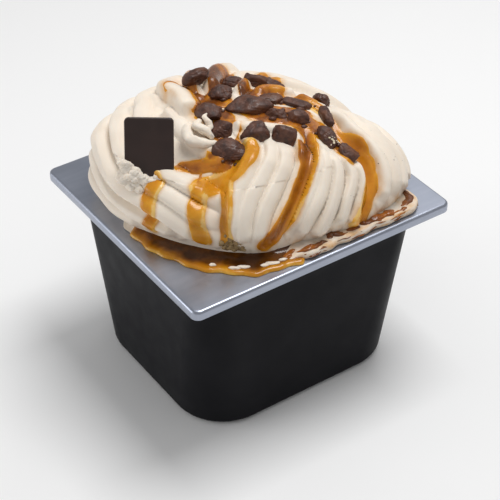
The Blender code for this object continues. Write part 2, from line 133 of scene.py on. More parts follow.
# sauce: route, half width at start and end, thickness, patchiness, darkness,
# and a side term: painted shade darkens one edge of a drip and a painted highlight lightens the other
SAUCE = [
    ([(189, 41), (195, 37), (194, 28), (195, 21), (191, 9)], 4.2, 3.8, 0.5, 0, 0.12, -0.3),
    ([(203, 50), (214, 52), (225, 54), (238, 55)], 3.6, 4.2, 0.8, 0, 0.42, 0.0),
    ([(217, 49), (217, 43)], 0.8, 0.8, 0.3, 0, 0.3, 0.0),
    ([(258, 62), (249, 57), (239, 52), (228, 45), (219, 40)], 6.5, 6.0, 0.6, 0, 0.0, 0.2),
    ([(219, 41), (218, 33), (218, 26), (219, 12)], 4.6, 4.4, 0.5, 0, 0.05, -0.3),
    ([(234, 47), (233, 38), (232, 30), (230, 22), (229, 13)], 3.8, 3.6, 0.5, 0, 0.02, -0.3),
    ([(320, 68), (314, 64), (302, 57), (290, 49), (280, 40), (268, 30), (257, 20), (246, 9)], 5.6, 5.0, 0.9, 0, 0.3, -0.3),
    ([(340, 60), (330, 56), (320, 50), (315, 40), (307, 28), (298, 18), (291, 9)], 3.6, 6.4, 0.6, 0, 0.1, 0.3),
    # crown
    ([(66, 64), (58, 74), (20, 82), (333, 80), (324, 70), (318, 62)], 16.0, 12.0, 0.7, 0.6, 0.6, 0.0),
    ([(98, 66), (104, 80), (210, 84), (236, 74), (238, 60)], 12.0, 10.0, 0.7, 0.6, 0.6, 0.0),
    ([(22, 62), (0, 70), (345, 66), (350, 54)], 11.0, 7.0, 0.7, 0.7, 0.5, 0.0),
    ([(312, 56), (308, 46), (304, 38)], 4.6, 3.6, 0.5, 0.5, 0.3, 0.0),
]
# streaks of bare cream between the patches on the crown: route, half width
BARE = [
    ([(66, 46), (74, 62), (90, 76)], 3.4), ([(48, 54), (44, 68), (40, 78), (350, 84)], 2.8),
    ([(26, 68), (14, 62), (2, 57)], 4.2), ([(262, 70), (280, 75), (296, 68), (302, 60)], 3.0),
    ([(232, 68), (246, 72), (262, 78)], 2.6), ([(110, 66), (122, 74), (150, 79)], 5.0),
    ([(340, 74), (336, 64), (330, 60)], 1.6), ([(180, 74), (206, 68), (222, 66)], 5.5),
]


# =====================================================================
# maths
# =====================================================================
def catmull(knots, u):
    k = np.asarray(knots, float)
    n = len(k)
    x = (np.asarray(u, float) * n) % n
    i = np.floor(x).astype(int)
    f = x - i
    a, b, c, d = k[(i - 1) % n], k[i % n], k[(i + 1) % n], k[(i + 2) % n]
    return 0.5 * (2 * b + (c - a) * f + (2 * a - 5 * b + 4 * c - d) * f * f
                  + (3 * b - a - 3 * c + d) * f ** 3)


def smooth(x):
    x = np.clip(x, 0.0, 1.0)
    return x * x * (3 - 2 * x)


def foot(th):
    return catmull(FOOT, th / (2 * math.pi))


def rrect(th, hx, hy, r):
    c, s = np.abs(np.cos(th)), np.abs(np.sin(th))
    t = np.minimum(hx / np.maximum(c, 1e-9), hy / np.maximum(s, 1e-9))
    cx, cy = hx - r, hy - r
    corner = (t * c > cx) & (t * s > cy)
    dc = c * cx + s * cy
    q = np.maximum(dc * dc - (cx * cx + cy * cy) + r * r, 0.0)
    return np.where(corner, dc + np.sqrt(q), t)


def dome(th, rise):
    c = np.cos(rise) ** (2 / ROUND_P)
    s = np.sin(rise) ** (2 / ROUND_Q)
    k = np.clip(rise / math.radians(40), 0, 1)
    r = foot(th) * (c + 0.03 * np.sin(math.pi * k))
    return np.stack([r * np.cos(th) + CROWN[0] * s,
                     r * np.sin(th) + CROWN[1] * s, MOUND_H * s], -1)


def dome_normal(th, rise):
    e = 1e-3
    hi = np.clip(rise + e, 0.02, math.pi / 2 - 1e-4)
    lo = np.clip(rise - e, 0.01, math.pi / 2 - 2e-3)
    n = np.cross(dome(th + e, rise) - dome(th - e, rise), dome(th, hi) - dome(th, lo))
    return n / np.maximum(np.linalg.norm(n, axis=-1, keepdims=True), 1e-9)


def route(points, n=40):
    p = np.radians(np.asarray(points, float))
    q = dome(p[:, 0], np.clip(p[:, 1], 0.02, 1.56))
    q = np.vstack([2 * q[0] - q[1], q, 2 * q[-1] - q[-2]])
    m = len(q) - 3
    u = np.linspace(0, m, n)
    i = np.minimum(u.astype(int), m - 1)
    f = (u - i)[:, None]
    a, b, c, d = q[i], q[i + 1], q[i + 2], q[i + 3]
    return 0.5 * (2 * b + (c - a) * f + (2 * a - 5 * b + 4 * c - d) * f * f
                  + (3 * b - a - 3 * c + d) * f ** 3)


def near(points, line, reach, signed=False):
    """Indices within reach of a polyline, their distance and how far along."""
    lo, hi = line.min(0) - reach, line.max(0) + reach
    idx = np.nonzero(((points > lo) & (points < hi)).all(1))[0]
    p = points[idx]
    best = np.full(len(p), 1e9)
    along = np.zeros(len(p))
    side = np.zeros(len(p))
    n = len(line) - 1
    for i in range(n):
        a, b = line[i], line[i + 1]
        ab = b - a
        t = np.clip(((p - a) @ ab) / max(ab @ ab, 1e-9), 0, 1)
        d = np.linalg.norm(p - (a + t[:, None] * ab), axis=1)
        m = d < best
        best[m] = d[m]
        along[m] = ((i + t) / n)[m]
        if signed:
            out = (p[m] * [1, 1, 0.6]) + [0, 0, 12]
            cr = (np.cross(ab, p[m] - a) * out).sum(1)
            side[m] = np.tanh(cr / (np.linalg.norm(ab) * np.linalg.norm(out, axis=1)) / 1.2)
    if signed:
        return idx, best, along, side
    return idx, best, along


def vnoise(p, scale, seed=0):
    q = np.asarray(p, float) / scale + seed * 17.31
    i = np.floor(q).astype(np.int64)
    f = q - i
    u = f * f * (3 - 2 * f)

    def h(a, b, c):
        x = (a * 374761393 + b * 668265263 + c * 1440662683 + seed * 974634777) & 0xFFFFFFFF
        x = ((x ^ (x >> 13)) * 1274126177) & 0xFFFFFFFF
        x = x ^ (x >> 16)
        return (x & 0xFFFFFF) / float(0x7FFFFF) - 1.0

    out = 0.0
    for dx in (0, 1):
        wx = u[:, 0] if dx else 1 - u[:, 0]
        for dy in (0, 1):
            wy = u[:, 1] if dy else 1 - u[:, 1]
            for dz in (0, 1):
                wz = u[:, 2] if dz else 1 - u[:, 2]
                out = out + wx * wy * wz * h(i[:, 0] + dx, i[:, 1] + dy, i[:, 2] + dz)
    return out


def fbm(p, scale, octaves=3, seed=0):
    out, amp, tot = 0.0, 1.0, 0.0
    for o in range(octaves):
        out = out + amp * vnoise(p, scale / 2 ** o, seed + o)
        tot += amp
        amp *= 0.5
    return out / tot


def ridge(points, folds, power):
    """Rounded ridges; where two meet the higher one wins, in a crease. A
    skewed fold is steep on one side and runs out slowly on the other."""
    out = np.zeros(len(points))
    for pts, w, h, *skew in folds:
        k = skew[0] if skew else 0.0
        idx, d, s, side = near(points, route(pts), w * (1 + k) + 1, True)
        d = d / (1 + k * side)
        ends = smooth(s / 0.18) * smooth((1 - s) / 0.12)
        u = np.clip(d / w, 0, 1)
        v = h * (0.25 + 0.75 * ends) * (1 - u * u) ** power
        out[idx] = np.maximum(out[idx], v)
    return out


def mound(th, rise):
    p = dome(th, rise)
    d = ridge(p, FOLDS, 0.7) + ridge(p, LOBES, 1.6) - ridge(p, VALLEYS, 1.5)
    d += 0.5 * vnoise(p, 16.0, 3)
    n = dome_normal(th, rise)
    fade = smooth(rise / math.radians(7))
    low = (1 - smooth(rise / math.radians(16)))[:, None]
    n = n * (1 - low) + low * (n * [1, 1, 0])
    n /= np.maximum(np.linalg.norm(n, axis=1, keepdims=True), 1e-9)
    return p + n * (d * fade)[:, None]


def slab(th):
    """Outline radius and height of the layer that lies on the flange."""
    t = np.degrees(th) % 360
    right = smooth((t - 250) / 12) * smooth((332 - t) / 10)
    left = smooth((t - 168) / 10) * smooth((262 - t) / 12)
    edge = rrect(th, 72.0, 79.0, 9.0) + 0.5 * np.sin(th * 23) + 0.4 * np.sin(th * 41 + 1)
    pool = np.interp(t, 165 + 15 * np.arange(8), POOL) - 1.5
    base = foot(th) - 2.8
    r = base * (1 - right) * (1 - left) + left * (1 - right) * pool + right * edge
    h = 1.0 + 4.2 * right
    return r, h


# =====================================================================
# mesh helpers
# =====================================================================
def obj_from(name, verts, faces, mats=(), attrs=None, smooth_shade=True, sharp=None):
    me = bpy.data.meshes.new(name)
    me.from_pydata((np.asarray(verts) * MM).tolist(), [], faces)
    me.validate()
    for k, v in (attrs or {}).items():
        a = me.attributes.new(k, "FLOAT", "POINT")
        a.data.foreach_set("value", np.asarray(v, np.float32))
    for m in mats:
        me.materials.append(m)
    if smooth_shade:
        me.shade_smooth()
    if sharp:
        me.set_sharp_from_angle(angle=math.radians(sharp))
    ob = bpy.data.objects.new(name, me)
    scene.collection.objects.link(ob)
    return ob


def grid_smooth(P, times):
    """Average each vertex of a grid that is closed along its first axis."""
    Q = P.copy()
    for _ in range(times):
        R = 0.5 * Q + 0.25 * (np.roll(Q, 1, 0) + np.roll(Q, -1, 0))
        S = R.copy()
        S[:, 1:-1] = 0.5 * R[:, 1:-1] + 0.25 * (R[:, 2:] + R[:, :-2])
        Q = S
    return Q


def grid_normals(P):
    du = np.roll(P, -1, 0) - np.roll(P, 1, 0)
    dv = np.empty_like(P)
    dv[:, 1:-1] = P[:, 2:] - P[:, :-2]
    dv[:, 0] = P[:, 1] - P[:, 0]
    dv[:, -1] = P[:, -1] - P[:, -2]
    n = np.cross(du, dv)
    return n / np.maximum(np.linalg.norm(n, axis=-1, keepdims=True), 1e-9)


# =====================================================================
# materials
# =====================================================================
def lin(r, g, b):
    return tuple(((c / 255 + 0.055) / 1.055) ** 2.4 if c > 10 else c / 255 / 12.92
                 for c in (r, g, b)) + (1.0,)


class Mat:
    """A small helper for a Principled material with procedural nodes."""

    def __init__(self, name):
        self.m = bpy.data.materials.new(name)
        self.m.use_nodes = True
        self.t = self.m.node_tree
        self.b = self.t.nodes["Principled BSDF"]
        self.coord = self.t.nodes.new("ShaderNodeTexCoord").outputs["Object"]

    def n(self, kind, **kw):
        node = self.t.nodes.new(kind)
        for k, v in kw.items():
            setattr(node, k, v)
        return node

    def link(self, a, b):
        self.t.links.new(a, b)

    def noise(self, scale, detail=3.0, rough=0.5, stretch=None):
        node = self.n("ShaderNodeTexNoise")
        node.inputs["Scale"].default_value = scale
        node.inputs["Detail"].default_value = detail
        node.inputs["Roughness"].default_value = rough
        src = self.coord
        if stretch:
            mp = self.n("ShaderNodeMapping")
            mp.inputs["Scale"].default_value = stretch
            self.link(src, mp.inputs["Vector"])
            src = mp.outputs["Vector"]
        self.link(src, node.inputs["Vector"])
        return node.outputs["Fac"]

    def attr(self, name):
        a = self.n("ShaderNodeAttribute")
        a.attribute_name = name
        return a.outputs["Fac"]

    def remap(self, fac, lo, hi, a=0.0, b=1.0):
        r = self.n("ShaderNodeMapRange")
        for i, v in zip((1, 2, 3, 4), (lo, hi, a, b)):
            r.inputs[i].default_value = v
        self.link(fac, r.inputs[0])
        return r.outputs[0]

    def math(self, op, a, b):
        r = self.n("ShaderNodeMath", operation=op)
        for i, v in enumerate((a, b)):
            if isinstance(v, (int, float)):
                r.inputs[i].default_value = v
            else:
                self.link(v, r.inputs[i])
        return r.outputs[0]

    def mix(self, fac, a, b):
        r = self.n("ShaderNodeMix", data_type="RGBA")
        if isinstance(fac, (int, float)):
            r.inputs[0].default_value = fac
        else:
            self.link(fac, r.inputs[0])
        for i, v in ((6, a), (7, b)):
            if isinstance(v, tuple):
                r.inputs[i].default_value = v
            else:
                self.link(v, r.inputs[i])
        return r.outputs[2]

    def ramp(self, fac, stops):
        r = self.n("ShaderNodeValToRGB")
        e = r.color_ramp.elements
        while len(e) < len(stops):
            e.new(0.5)
        for el, (pos, col) in zip(e, stops):
            el.position = pos
            el.color = col
        self.link(fac, r.inputs[0])
        return r.outputs[0]

    def bump(self, height, strength, dist):
        r = self.n("ShaderNodeBump")
        r.inputs["Strength"].default_value = strength
        r.inputs["Distance"].default_value = dist
        self.link(height, r.inputs["Height"])
        self.link(r.outputs[0], self.b.inputs["Normal"])

    def set(self, **kw):
        for k, v in kw.items():
            s = self.b.inputs[k.replace("_", " ")]
            if hasattr(v, "default_value") or hasattr(v, "is_linked"):
                self.link(v, s)
            else:
                s.default_value = v
        return self


def cream_material():
    m = Mat("gelato_cream")
    base = m.ramp(m.noise(55, 3, 0.5), [(0.3, CREAM_LO), (0.7, CREAM_HI)])
    stain = m.attr("stain")
    wob = m.noise(260, 4, 0.6)
    s = m.math("MULTIPLY", stain, m.remap(wob, 0.3, 0.7, 0.55, 1.25))
    col = m.mix(s, base, CREAM_STAIN)
    m.set(Base_Color=col, Roughness=m.remap(m.noise(90, 3), 0.3, 0.7, 0.42, 0.6))
    m.b.inputs["Subsurface Weight"].default_value = 0.15
    m.b.inputs["Subsurface Radius"].default_value = (1.0, 0.8, 0.6)
    m.b.inputs["Subsurface Scale"].default_value = 0.002
    m.b.inputs["IOR"].default_value = 1.38
    m.bump(m.noise(700, 3, 0.6), 0.12, 0.0006)
    return m.m


def sauce_material(name, stops, rough=(0.14, 0.3)):
    m = Mat(name)
    thick_and_side_shade = m.attr("thick_and_side_shade")
    wob = m.remap(m.noise(70, 5, 0.6), 0.3, 0.7, -0.2, 0.2)
    # colour runs from thin amber to deep brown; on the drips the attribute also carries painted shade on one edge
    # and a painted highlight on the other
    col = m.ramp(m.math("ADD", thick_and_side_shade, wob), stops)
    m.set(Base_Color=col, Roughness=m.remap(m.noise(150, 3), 0.3, 0.7, *rough))
    m.b.inputs["IOR"].default_value = 1.45
    m.b.inputs["Subsurface Weight"].default_value = 0.1
    m.b.inputs["Subsurface Scale"].default_value = 0.0015
    m.bump(m.noise(220, 2), 0.08, 0.0008)
    return m.m


def chunk_material():
    m = Mat("chunk_biscuit")
    n1 = m.noise(240, 5, 0.65)
    col = m.ramp(n1, [(0.3, lin(46, 24, 17)), (0.5, lin(78, 46, 34)), (0.72, lin(104, 66, 48))])
    glaze = m.remap(m.noise(70, 3, 0.5), 0.52, 0.68, 0.0, 0.6)
    col = m.mix(glaze, col, lin(104, 58, 24))
    m.set(Base_Color=col, Roughness=m.remap(m.noise(160, 3), 0.35, 0.65, 0.3, 0.65))
    m.bump(m.noise(900, 4, 0.7), 0.35, 0.0006)
    return m.m


def crumb_material(name, lo, hi):
    m = Mat(name)
    m.set(Base_Color=m.ramp(m.noise(420, 4, 0.6), [(0.3, lo), (0.7, hi)]),
          Roughness=m.remap(m.noise(300, 3), 0.3, 0.7, 0.5, 0.75))
    m.bump(m.noise(1200, 3), 0.3, 0.0004)
    return m.m


def tile_material():
    m = Mat("tile_chocolate")
    col = m.ramp(m.noise(60, 4), [(0.3, lin(36, 20, 15)), (0.7, lin(46, 27, 21))])
    m.set(Base_Color=col, Roughness=m.remap(m.noise(120, 4), 0.3, 0.7, 0.34, 0.5))
    m.bump(m.noise(1200, 3), 0.08, 0.0003)
    return m.m


def steel_material():
    m = Mat("pan_steel")
    streak = m.noise(40, 3, 0.5, (1.0, 6.0, 1.0))
    m.set(Base_Color=m.ramp(streak, [(0.3, STEEL_LO), (0.7, STEEL_HI)]), Metallic=1.0,
          Roughness=m.remap(m.noise(35, 4, 0.6), 0.3, 0.7, 0.3, 0.42))
    m.bump(m.noise(1500, 2), 0.02, 0.0002)
    return m.m


def black_material():
    m = Mat("tub_coat")
    col = m.ramp(m.noise(30, 4), [(0.3, TUB_LO), (0.7, TUB_HI)])
    m.set(Base_Color=col, Roughness=m.remap(m.noise(80, 4), 0.3, 0.7, 0.4, 0.5))
    m.b.inputs["Specular IOR Level"].default_value = 0.06
    m.bump(m.noise(2600, 2), 0.06, 0.0002)
    return m.m


CREAM_LO, CREAM_HI = lin(231, 218, 202), lin(239, 228, 213)
CREAM_STAIN = lin(214, 160, 84)
STEEL_LO, STEEL_HI = lin(160, 166, 180), lin(168, 173, 186)
TUB_LO, TUB_HI = lin(22, 22, 25), lin(28, 28, 31)
SAUCE_STOPS = [(0.0, lin(236, 194, 116)), (0.1, lin(222, 158, 48)), (0.34, lin(206, 137, 26)), (0.62, lin(184, 114, 26)), (0.86, lin(142, 80, 24)), (1.0, lin(100, 56, 24))]
POOL_STOPS = [(0.0, lin(222, 170, 70)), (0.14, lin(196, 132, 24)), (0.4, lin(168, 106, 16)), (0.68, lin(124, 72, 12)), (1.0, lin(72, 38, 8))]
M_CREAM, M_CHUNK, M_TILE = cream_material(), chunk_material(), tile_material()
M_STEEL, M_BLACK = steel_material(), black_material()
M_SAUCE = sauce_material("sauce_caramel", SAUCE_STOPS)
M_NUT = crumb_material("nut_crumb", lin(116, 92, 58), lin(178, 152, 108))
M_PALE = crumb_material("sugar_crumb", lin(214, 200, 168), lin(238, 228, 204))
M_POOL = sauce_material("sauce_pool", POOL_STOPS, (0.1, 0.25))


# =====================================================================
# the gelato
# =====================================================================
def spaced():
    q = 1.0
    t = np.concatenate([np.arange(150, 345, 0.42 * q), np.arange(345, 510, 1.0 * q)])
    return np.radians(t % 360)


TH = spaced()
N_EL = 140
RISE = np.radians(np.linspace(5.0, 89.2, N_EL))
TT, EE = np.meshgrid(TH, RISE, indexing="ij")
SURF = mound(TT.ravel(), EE.ravel()).reshape(TT.shape + (3,))
SURF[..., 2] += PAN_H
NORM = grid_normals(SURF)


def sauce_field():
    """Signed sauce field over the mound: above zero there is sauce."""
    P = dome(TT.ravel(), EE.ravel())
    F = np.full(len(P), -9.0)
    T = np.zeros(len(P))
    D = np.zeros(len(P))
    wob = 1.0 + 0.2 * vnoise(P, 13.0, 11) + 0.12 * vnoise(P, 4.5, 12)
    grain = fbm(P, 5.0, 3, 77)
    for k, (pts, w0, w1, t, patchy, dark, side_shade) in enumerate(SAUCE):
        reach = max(w0, w1) * 2.4
        idx, d, s, side = near(P, route(pts), reach, True)
        w = (w0 + (w1 - w0) * s) * wob[idx]
        f = 1 - (d / w) ** 2
        if patchy:                      # on the crown the coat is patchy
            f = f - patchy * np.clip(fbm(P[idx], 8.0, 3, 5 + k) * 1.6 + 0.1, 0, 1)
        m = f > F[idx]
        q = idx[m]
        F[q] = f[m]
        T[q] = t
        # stroke darkness, plus painted shade on one edge of the drip and a painted highlight on the other, plus
        # grain on the crown
        D[q] = dark + side_shade * (side * np.clip(d / w, 0, 1))[m] + (0.5 * grain[q] if patchy else 0)
    for pts, w in BARE:
        idx, d, s = near(P, route(pts), w * 2)
        F[idx] = np.minimum(F[idx], (d / (w * wob[idx])) ** 2 * 1.2 - 1.0 + 0.3 * grain[idx])
    return F.reshape(TT.shape), T.reshape(TT.shape), D.reshape(TT.shape)


SF, ST, SAUCE_DARK_AND_SIDE_SHADE = sauce_field()


def make_gelato():
    th = TH
    r, h = slab(th)
    base = foot(th)
    rows = []

    def level(rad, z):
        rows.append(np.stack([rad * np.cos(th), rad * np.sin(th),
                              np.broadcast_to(z, th.shape) + PAN_H], -1))

    level(r - 8, SEAT + 0.0 * th)
    level(r - 0.6, SEAT + 0.0 * th)
    level(r, SEAT + 0.25 * h)
    level(r + 0.25, SEAT + 0.55 * h)
    level(r - 0.2, h * 0.85)
    level(r - 1.2, h * 1.0)
    level(np.minimum(r - 2.0, base - 0.5), h + 0.1)
    low = np.stack(rows, 1)
    P = np.concatenate([low, SURF], 1)
    n, m = P.shape[:2]
    stain = np.zeros((n, m))
    s = np.clip(1.0 + SF * 0.9, 0, 1) ** 2 * 0.75
    stain[:, low.shape[1]:] = s
    deg = np.degrees(th) % 360
    right = smooth((deg - 250) / 10) * smooth((330 - deg) / 8)
    for k in range(2, low.shape[1]):      # the side of the layer is streaked
        q = low[:, k] * [1, 1, 1] + [0, 0, k * 7.0]
        stain[:, k] = right * np.clip(0.35 + 1.5 * fbm(q, 9.0, 3, 50 + k), 0, 1)
    foot_band = np.clip(1 - (np.degrees(RISE) - 5) / 7, 0, 1)[None, :]
    q = SURF.reshape(-1, 3)
    stain[:, low.shape[1]:] = np.maximum(s, right[:, None] * foot_band * np.clip(0.3 + fbm(q, 7.0, 3, 60).reshape(s.shape) * 1.4, 0, 1))
    V = P.reshape(-1, 3)
    tip = mound(np.array([0.3]), np.array([1.566]))[0] + [0, 0, PAN_H]
    V = np.vstack([V, tip, [0, 0, PAN_H + SEAT]])
    stain = np.append(stain.ravel(), [0, 0])
    faces = []
    for i in range(n):
        j = (i + 1) % n
        a = i * m
        b = j * m
        for k in range(m - 1):
            faces.append((a + k, b + k, b + k + 1, a + k + 1))
        faces.append((a + m - 1, b + m - 1, n * m))
        faces.append((b, a, n * m + 1))
    ob = obj_from("gelato_mound", V, faces, [M_CREAM], {"stain": stain})
    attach(ob, "root"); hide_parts("gelato")
    return ob


def shell(name, mask, top, bottom, mat, attrs):
    """Closed shell over the grid quads in mask, given its two skins."""
    n, m = mask.shape[0], mask.shape[1] + 1
    quads = np.argwhere(mask)
    used = {}
    order = []

    def vid(i, k):
        key = (i % n) * m + k
        if key not in used:
            used[key] = len(order)
            order.append(key)
        return used[key]

    faces = []
    edges = {}
    for i, k in quads:
        q = (vid(i, k), vid(i + 1, k), vid(i + 1, k + 1), vid(i, k + 1))
        faces.append(q)
        for a, b in zip(q, q[1:] + q[:1]):
            edges[(a, b)] = True
    c = len(order)
    out = list(faces) + [tuple(v + c for v in q[::-1]) for q in faces]
    for a, b in edges:
        if (b, a) not in edges:
            out.append((b, a, a + c, b + c))
    order = np.array(order)
    V = np.vstack([top.reshape(-1, 3)[order], bottom.reshape(-1, 3)[order]])
    at = {k: np.tile(v.ravel()[order], 2) for k, v in attrs.items()}
    ob = obj_from(name, V, out, [mat], at)
    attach(ob, "root")
    return ob


def make_sauce():
    S = grid_smooth(SURF, 5)
    F = SF
    soft = F / np.sqrt(F * F + 0.12)
    T = np.where(F > -0.9, ST * soft, -0.4)
    T = np.maximum(T, -0.45) + np.where(F > -0.9, 0.0, 0)
    lift = ((S - SURF) * NORM).sum(-1)
    top = SURF + NORM * (np.where(F > 0, np.maximum(lift, 0) * np.clip(F * 2, 0, 1), 0) + T)[..., None]
    bottom = SURF - NORM * 0.8
    live = F > -0.25
    mask = live[:, :-1] | live[:, 1:]
    r = np.roll(live, -1, 0)
    mask |= r[:, :-1] | r[:, 1:]
    thick_and_side_shade = np.clip(F, 0, 1) * np.clip(ST, 0.3, 1.2) / 1.1
    # the sauce that stays in the valleys is deeper; the stroke's darkness and the painted side shade and painted
    # highlight from the sauce field are added on top
    thick_and_side_shade = np.clip(0.55 * thick_and_side_shade + np.clip(lift, 0, 2) * 0.25 + SAUCE_DARK_AND_SIDE_SHADE * np.clip(F * 3 + 0.3, 0, 1), 0, 1)
    return shell("sauce_drips", mask, top, bottom, M_SAUCE, {"thick_and_side_shade": thick_and_side_shade})


def make_pool():
    """Puddle of sauce on the flange along the front left foot of the mound."""
    t = np.linspace(176, 266, 240)
    th = np.radians(t)
    out = np.interp(t, 165 + 15 * np.arange(8), POOL)
    out = out + 0.7 * np.sin(th * 17) + 0.5 * np.sin(th * 39 + 2)
    ends = np.minimum(smooth((t - 176) / 6), smooth((266 - t) / 8))
    inner = foot(th) - 9
    out = inner + (out - inner) * (0.35 + 0.65 * ends)
    k = np.linspace(0, 1, 26)
    rad = inner[:, None] + (out - inner)[:, None] * k[None]
    d = (out - inner)[:, None] * (1 - k)[None]
    z = SEAT + 1.5 * np.sqrt(np.clip(1 - (1 - np.clip(d / 3.0, 0, 1)) ** 2, 0, 1)) * ends[:, None] + 0.25
    z = z + 4.6 * np.clip(1 - (rad - foot(th)[:, None] + 2.5) / 6.0, 0, 1) ** 2 * ends[:, None]
    P = np.stack([rad * np.cos(th)[:, None], rad * np.sin(th)[:, None], z + PAN_H], -1)
    z2 = 0.25 * fbm(P.reshape(-1, 3), 6.0, 2, 9).reshape(z.shape) * np.clip(d / 3, 0, 1)
    P[..., 2] += z2
    n, m = P.shape[:2]
    B = P.copy(); B[..., 2] = PAN_H + 0.1
    V = np.vstack([P.reshape(-1, 3), B.reshape(-1, 3)])
    faces = []
    c = n * m
    for i in range(n - 1):
        for j in range(m - 1):
            a, b = i * m + j, (i + 1) * m + j
            faces.append((a, a + 1, b + 1, b))
            faces.append((a + c, b + c, b + 1 + c, a + 1 + c))
    for i in range(n - 1):
        a, b = i * m, (i + 1) * m
        faces.append((a, b, b + c, a + c))
        a, b = i * m + m - 1, (i + 1) * m + m - 1
        faces.append((b, a, a + c, b + c))
    for j in range(m - 1):
        faces.append((j + 1, j, j + c, j + 1 + c))
        a = (n - 1) * m + j
        faces.append((a, a + 1, a + 1 + c, a + c))
    swirl = fbm(np.stack([rad * np.cos(th)[:, None], rad * np.sin(th)[:, None], 0 * rad], -1).reshape(-1, 3)
                * [1, 1, 1], 9.0, 3, 21).reshape(rad.shape)
    thick_and_side_shade = np.clip(0.04 + d / 7.0 + 0.5 * swirl * np.clip(d / 3, 0, 1), 0, 1)
    ob = obj_from("sauce_pool", V, faces, [M_POOL], {"thick_and_side_shade": np.tile(thick_and_side_shade.ravel(), 2)})
    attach(ob, "root")
    return ob


# =====================================================================
# chunks and tile
# =====================================================================
def frame_at(bearing, rise, spin, lift):
    b, a = math.radians(bearing % 360), math.radians(rise)
    p = mound(np.array([b]), np.array([a]))[0]
    n = Vector(dome_normal(np.array([b]), np.array([a]))[0])
    across = Vector((math.cos(math.radians(-35)), math.sin(math.radians(-35)), 0))
    x = (across - n * across.dot(n)).normalized()
    y = n.cross(x)
    m = Matrix((x, y, n)).transposed() @ Matrix.Rotation(math.radians(spin), 3, "Z")
    return Vector(p) + n * lift + Vector((0, 0, PAN_H)), m


def broken(n, seed, soft=9.0):
    """Radius of an angular broken lump along unit directions n."""
    rng = np.random.RandomState(seed * 7 + 3)
    m = rng.normal(size=(11, 3))
    m /= np.linalg.norm(m, axis=1, keepdims=True)
    h = rng.uniform(0.66, 0.95, 11)
    d = np.maximum(n @ m.T, 1e-3) / h
    return np.minimum(1.0 / ((d ** soft).sum(1) + 0.82 ** soft) ** (1 / soft), 1.16)


def make_chunk(i, spec):
    b, a, l, w, t, spin, lift = spec
    c, m = frame_at(b, a, spin, lift)
    bm = bmesh.new()
    bmesh.ops.create_icosphere(bm, subdivisions=5, radius=1.0)
    n = np.array([v.co.normalized() for v in bm.verts])
    half = np.array([l, w, t]) / 2 * 1.24
    P = n * half * broken(n, i)[:, None]
    # pits, crumbly grain and a few cracks
    rough = 0.5 * fbm(P + i * 31, 4.0, 3, i) + 0.34 * fbm(P + i * 13, 1.4, 3, i + 40)
    rough += 0.9 * np.clip(0.16 - np.abs(vnoise(P + i * 5, 3.6, i + 7)), 0, 1) / 0.16 * 0.5
    P = P - n * rough[:, None]
    for v, p in zip(bm.verts, P):
        v.co = (m @ Vector(p) + c) * MM
    me = bpy.data.meshes.new(f"biscuit_{i:02d}")
    bm.to_mesh(me)
    bm.free()
    me.materials.append(M_CHUNK)
    me.shade_smooth()
    ob = bpy.data.objects.new(f"biscuit_{i:02d}", me)
    scene.collection.objects.link(ob)
    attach(ob, "root"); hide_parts(f"chunk_{i:02d}")
    return ob


def ring_pts(hx, hy, r, z, seg):
    pts = []
    for cx, cy, a0 in ((hx - r, hy - r, 0), (r - hx, hy - r, 90),
                       (r - hx, r - hy, 180), (hx - r, r - hy, 270)):
        for k in range(seg + 1):
            a = math.radians(a0 + 90 * k / seg)
            pts.append((cx + r * math.cos(a), cy + r * math.sin(a), z))
    return pts


def rings_mesh(rings, cap_mats=(0, 0), mats=None):
    V = [p for r in rings for p in r]
    n = len(rings[0])
    F, M = [], []
    for k in range(len(rings) - 1):
        for i in range(n):
            j = (i + 1) % n
            F.append((k * n + i, k * n + j, (k + 1) * n + j, (k + 1) * n + i))
            M.append(mats[k] if mats else 0)
    F.append(tuple(range(n))[::-1]); M.append(cap_mats[0])
    F.append(tuple((len(rings) - 1) * n + i for i in range(n))); M.append(cap_mats[1])
    return V, F, M


def make_tile():
    w, l, t, r = TILE_W / 2, TILE_L / 2, TILE_T / 2, TILE_R
    rings = []
    for a in range(0, 91, 15):
        e = 0.7 * (1 - math.sin(math.radians(a)))
        z = -t + 0.7 * (1 - math.cos(math.radians(a)))
        rings.append(ring_pts(w - e, l - e, r - e, z, 8))
    for a in range(90, -1, -15):
        e = 0.7 * (1 - math.sin(math.radians(a)))
        z = t - 0.7 * (1 - math.cos(math.radians(a)))
        rings.append(ring_pts(w - e, l - e, r - e, z, 8))
    V, F, _ = rings_mesh(rings)
    fb, fr = math.radians(TILE_FACE[0]), math.radians(TILE_FACE[1])
    n = Vector((math.cos(fb) * math.cos(fr), math.sin(fb) * math.cos(fr), math.sin(fr)))
    x = Vector((0, 0, 1)).cross(n).normalized()
    y = n.cross(x)
    c = Vector(TILE_AT) + Vector((0, 0, PAN_H))
    m = Matrix((x, y, n)).transposed()
    V = [tuple(m @ Vector(p) + c) for p in V]
    ob = obj_from("chocolate_tile", V, F, [M_TILE], sharp=50)
    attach(ob, "root"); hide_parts("tile")
    return ob


